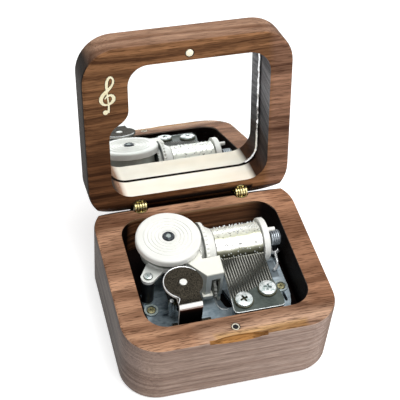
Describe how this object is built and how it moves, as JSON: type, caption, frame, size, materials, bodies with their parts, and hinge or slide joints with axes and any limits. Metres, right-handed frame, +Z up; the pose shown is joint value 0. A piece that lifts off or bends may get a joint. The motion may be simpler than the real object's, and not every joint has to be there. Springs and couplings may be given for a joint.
{
  "type": "wooden music box",
  "caption": "Walnut music box with a hinged mirror lid; a wind-up movement with pinned cylinder, steel comb, geared governor and a key underneath.",
  "frame": {"origin": "centre of the case's flat underside", "axes": "+Z up, -Y toward the front edge with the thumb notch, +X to the right seen from the front; stored with the lid open"},
  "size_m": [0.078, 0.0953, 0.0927],
  "materials": {
    "walnut": "oiled walnut",
    "brass": "satin",
    "inlay": "pale polished",
    "steel": "zinc plated",
    "dark_steel": "blackened, with bright sheared edges",
    "comb_steel": "ground",
    "spring_steel": "blued",
    "nickel": "plated",
    "zinc": "as cast, plated",
    "magnet": "plated",
    "mirror": "silvered glass",
    "white_plastic": "moulded",
    "grey_plastic": "moulded"
  },
  "bodies": {
    "case": {"case_body": "walnut", "case_magnet": "magnet", "left_case_barrel": "brass", "right_case_barrel": "brass", "left_hinge_pin": "brass", "right_hinge_pin": "brass", "bedplate": "zinc", "mounting_screw_left": "brass", "mounting_screw_right": "brass", "mounting_screw_rear": "brass", "spring_housing": "white_plastic", "mainspring": "spring_steel", "housing_screw": "steel", "housing_screw_rear": "steel", "cylinder_bushing": "steel", "comb": "comb_steel", "comb_screw_left": "nickel", "comb_screw_right": "nickel", "shaft_bracket": "steel", "governor_bracket": "dark_steel", "governor_bearing": "white_plastic", "bracket_screw": "dark_steel", "stop_post": "steel", "gear_cover": "white_plastic"},
    "lid": {"lid_frame": "walnut", "lid_mirror": "mirror", "treble_clef": "inlay", "lid_magnet": "magnet", "left_lid_barrel": "brass", "right_lid_barrel": "brass"},
    "cylinder": {"cylinder_gear": "white_plastic", "cylinder_sleeve": "nickel", "cylinder_end_cap": "white_plastic", "cylinder_shaft": "steel"},
    "idler": {"idler_gear": "grey_plastic", "worm_wheel": "brass", "idler_shaft": "steel"},
    "governor": {"worm_shaft": "steel", "governor_wings": "grey_plastic"},
    "great_wheel": {"great_wheel": "white_plastic", "clutch_spring": "spring_steel"},
    "winding": {"winding_arbor": "steel", "winding_key": "steel"}
  },
  "joints": [
    {"name": "lid_hinge", "type": "hinge", "parent": "case", "child": "lid", "pos_m": [0, 0.03088, 0.0286], "axis": [1, 0, 0], "range_deg": [0, 103.9]},
    {"name": "cylinder_spin", "type": "hinge", "parent": "case", "child": "cylinder", "pos_m": [0.0118, 0.00922, 0.0244], "axis": [1, 0, 0], "continuous": true},
    {"name": "great_wheel_spin", "type": "hinge", "parent": "case", "child": "great_wheel", "pos_m": [-0.0144, 0.00922, 0.0336], "axis": [0, 0, 1], "continuous": true},
    {"name": "idler_spin", "type": "hinge", "parent": "case", "child": "idler", "pos_m": [-0.0072, -0.00485, 0.0207], "axis": [1, 0, 0], "continuous": true},
    {"name": "governor_spin", "type": "hinge", "parent": "case", "child": "governor", "pos_m": [-0.0144, -0.01225, 0.0207], "axis": [0, 0, 1], "continuous": true},
    {"name": "winding", "type": "hinge", "parent": "great_wheel", "child": "winding", "pos_m": [-0.0144, 0.00922, 0.0042], "axis": [0, 0, 1], "range_deg": [0, 1890]}
  ],
  "couplings": [
    {"joint": "great_wheel_spin", "follows": "cylinder_spin", "ratio": -0.8},
    {"joint": "idler_spin", "follows": "cylinder_spin", "ratio": -2},
    {"joint": "governor_spin", "follows": "cylinder_spin", "ratio": -24}
  ]
}
